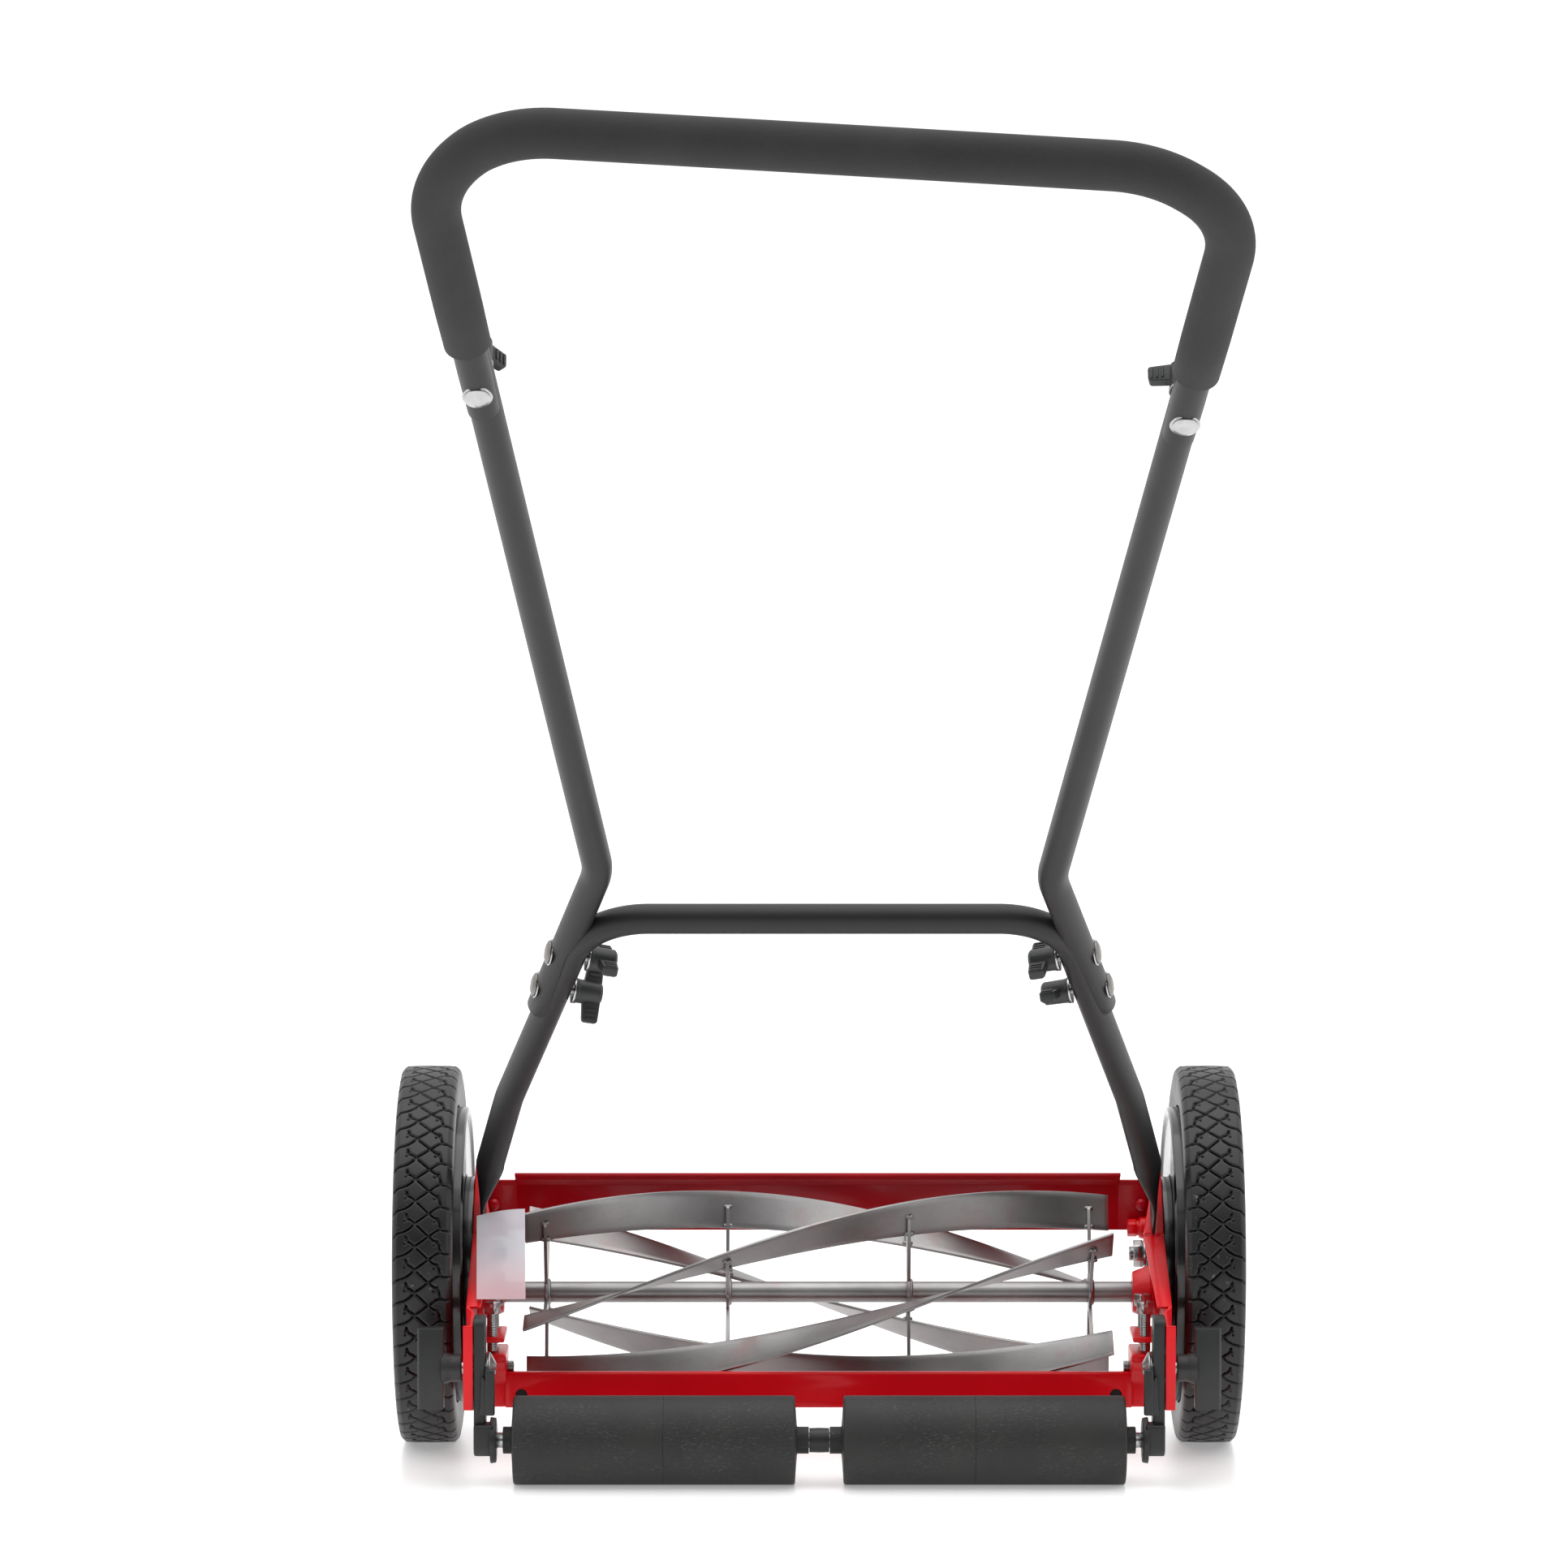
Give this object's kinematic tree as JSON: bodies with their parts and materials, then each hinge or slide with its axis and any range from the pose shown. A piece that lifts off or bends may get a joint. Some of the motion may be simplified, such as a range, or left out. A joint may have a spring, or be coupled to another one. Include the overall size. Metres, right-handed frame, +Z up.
{
  "type": "reel mower",
  "caption": "Push reel mower with a helical cutting reel geared to both wheels, a bed knife, a split rear roller and a bolted tube handle.",
  "frame": {"origin": "middle of the footprint, on the ground under the wheels and the roller", "axes": "+Z up, +Y the way the mower is pushed, +X the right-hand side seen from behind"},
  "size_m": [0.5624, 1.0258, 0.8758],
  "materials": {
    "tyre_rubber": "matte moulded rubber with a lattice tread",
    "wheel_plastic": "glossy black moulded plastic",
    "gear_steel": "cut steel",
    "zinc_plate": "bright zinc plate",
    "red_paint": "glossy red powder coat on sheet steel",
    "blade_steel": "satin ground steel",
    "roller_plastic": "dull black, finely scuffed",
    "black_plastic": "dark satin moulded plastic",
    "grip_foam": "soft matte grip sleeve",
    "tube_coat": "charcoal satin powder coat"
  },
  "bodies": {
    "chassis": {"side_plate_left": "red_paint", "side_plate_right": "red_paint", "front_plate": "red_paint", "tie_bolt_left": "red_paint", "tie_bolt_right": "red_paint", "reel_bearing_left": "red_paint", "reel_bearing_right": "red_paint", "axle_stud_left": "zinc_plate", "axle_stud_right": "zinc_plate", "gear_cover_left": "wheel_plastic", "gear_cover_right": "wheel_plastic", "pivot_bolt_left": "zinc_plate", "pivot_bolt_right": "zinc_plate", "adjusting_screw_rear_left": "zinc_plate", "adjusting_screw_rear_right": "zinc_plate", "adjusting_screw_front_left": "zinc_plate", "adjusting_screw_front_right": "zinc_plate"},
    "cutter": {"cutter_bar": "red_paint", "bed_knife": "blade_steel"},
    "reel": {"reel_core": "blade_steel", "reel_blade_1": "blade_steel", "reel_blade_2": "blade_steel", "reel_blade_3": "blade_steel", "reel_blade_4": "blade_steel", "reel_blade_5": "blade_steel"},
    "handle": {"lower_handle": "tube_coat", "middle_tube_left": "tube_coat", "middle_tube_right": "tube_coat", "upper_handle": "tube_coat", "grip": "grip_foam", "carriage_bolt_lower_rear_left": "zinc_plate", "carriage_bolt_lower_front_left": "zinc_plate", "carriage_bolt_upper_left": "zinc_plate", "carriage_bolt_lower_rear_right": "zinc_plate", "carriage_bolt_lower_front_right": "zinc_plate", "carriage_bolt_upper_right": "zinc_plate"},
    "roller_carriage": {"roller_bracket_left": "black_plastic", "roller_bracket_right": "black_plastic", "roller_axle": "zinc_plate"},
    "wheel_left": {"tyre_left": "tyre_rubber", "wheel_disc_left": "wheel_plastic", "hub_cap_left": "wheel_plastic"},
    "pinion_gear_left": {"pinion_left": "gear_steel"},
    "clamp_left": {"clamp_knob_left": "black_plastic"},
    "roller_outer_left_body": {"roller_outer_left": "roller_plastic"},
    "roller_inner_left_body": {"roller_inner_left": "roller_plastic"},
    "wheel_right": {"tyre_right": "tyre_rubber", "wheel_disc_right": "wheel_plastic", "hub_cap_right": "wheel_plastic"},
    "pinion_gear_right": {"pinion_right": "gear_steel"},
    "clamp_right": {"clamp_knob_right": "black_plastic"},
    "roller_outer_right_body": {"roller_outer_right": "roller_plastic"},
    "roller_inner_right_body": {"roller_inner_right": "roller_plastic"},
    "knob_lower_rear_left": {"wing_knob_lower_rear_left": "black_plastic"},
    "knob_lower_front_left": {"wing_knob_lower_front_left": "black_plastic"},
    "knob_upper_left": {"wing_knob_upper_left": "black_plastic"},
    "knob_lower_rear_right": {"wing_knob_lower_rear_right": "black_plastic"},
    "knob_lower_front_right": {"wing_knob_lower_front_right": "black_plastic"},
    "knob_upper_right": {"wing_knob_upper_right": "black_plastic"}
  },
  "joints": [
    {"name": "wheel_left_spin", "type": "hinge", "parent": "chassis", "child": "wheel_left", "pos_m": [-0.2575, 0.38594, 0.127], "axis": [-1, 0, 0], "continuous": true},
    {"name": "wheel_right_spin", "type": "hinge", "parent": "chassis", "child": "wheel_right", "pos_m": [0.2575, 0.38594, 0.127], "axis": [-1, 0, 0], "continuous": true},
    {"name": "reel_spin", "type": "hinge", "parent": "chassis", "child": "reel", "pos_m": [0, 0.36161, 0.10471], "axis": [-1, 0, 0], "continuous": true},
    {"name": "pinion_left_spin", "type": "hinge", "parent": "chassis", "child": "pinion_gear_left", "pos_m": [-0.241, 0.36161, 0.10471], "axis": [-1, 0, 0], "continuous": true},
    {"name": "pinion_right_spin", "type": "hinge", "parent": "chassis", "child": "pinion_gear_right", "pos_m": [0.241, 0.36161, 0.10471], "axis": [-1, 0, 0], "continuous": true},
    {"name": "handle_swing", "type": "hinge", "parent": "chassis", "child": "handle", "pos_m": [0, 0.38594, 0.127], "axis": [-1, 0, 0], "range_deg": [0, 80]},
    {"name": "cutter_tilt", "type": "hinge", "parent": "chassis", "child": "cutter", "pos_m": [0, 0.31094, 0.063], "axis": [1, 0, 0], "range_deg": [-2, 0]},
    {"name": "roller_height", "type": "slide", "parent": "chassis", "child": "roller_carriage", "axis": [0, 0, 1], "range_m": [-0.02, 0.022]},
    {"name": "roller_outer_left_spin", "type": "hinge", "parent": "roller_carriage", "child": "roller_outer_left_body", "pos_m": [-0.15, 0.22594, 0.029], "axis": [-1, 0, 0], "continuous": true},
    {"name": "roller_inner_left_spin", "type": "hinge", "parent": "roller_carriage", "child": "roller_inner_left_body", "pos_m": [-0.058, 0.22594, 0.029], "axis": [-1, 0, 0], "continuous": true},
    {"name": "clamp_left_turn", "type": "hinge", "parent": "chassis", "child": "clamp_left", "pos_m": [-0.25, 0.22994, 0.076], "axis": [1, 0, 0], "continuous": true},
    {"name": "roller_outer_right_spin", "type": "hinge", "parent": "roller_carriage", "child": "roller_outer_right_body", "pos_m": [0.15, 0.22594, 0.029], "axis": [-1, 0, 0], "continuous": true},
    {"name": "roller_inner_right_spin", "type": "hinge", "parent": "roller_carriage", "child": "roller_inner_right_body", "pos_m": [0.058, 0.22594, 0.029], "axis": [-1, 0, 0], "continuous": true},
    {"name": "clamp_right_turn", "type": "hinge", "parent": "chassis", "child": "clamp_right", "pos_m": [0.25, 0.22994, 0.076], "axis": [1, 0, 0], "continuous": true},
    {"name": "knob_lower_rear_left_turn", "type": "hinge", "parent": "handle", "child": "knob_lower_rear_left", "pos_m": [-0.16727, 0.13697, 0.33591], "axis": [-0.9674, -0.1939, 0.1627], "continuous": true},
    {"name": "knob_lower_front_left_turn", "type": "hinge", "parent": "handle", "child": "knob_lower_front_left", "pos_m": [-0.15728, 0.10863, 0.35969], "axis": [-0.9674, -0.1939, 0.1627], "continuous": true},
    {"name": "knob_upper_left_turn", "type": "hinge", "parent": "handle", "child": "knob_upper_left", "pos_m": [-0.1941, -0.31218, 0.72928], "axis": [0, -0.6593, -0.7518], "continuous": true},
    {"name": "knob_lower_rear_right_turn", "type": "hinge", "parent": "handle", "child": "knob_lower_rear_right", "pos_m": [0.16952, 0.13697, 0.33591], "axis": [0.9677, -0.193, 0.162], "continuous": true},
    {"name": "knob_lower_front_right_turn", "type": "hinge", "parent": "handle", "child": "knob_lower_front_right", "pos_m": [0.16019, 0.10863, 0.35969], "axis": [0.9677, -0.193, 0.162], "continuous": true},
    {"name": "knob_upper_right_turn", "type": "hinge", "parent": "handle", "child": "knob_upper_right", "pos_m": [0.1995, -0.33488, 0.71445], "axis": [0, -0.6252, -0.7804], "continuous": true}
  ],
  "couplings": [
    {"joint": "reel_spin", "follows": "wheel_left_spin", "ratio": 5},
    {"joint": "pinion_left_spin", "follows": "wheel_left_spin", "ratio": 5},
    {"joint": "pinion_right_spin", "follows": "wheel_right_spin", "ratio": 5}
  ]
}
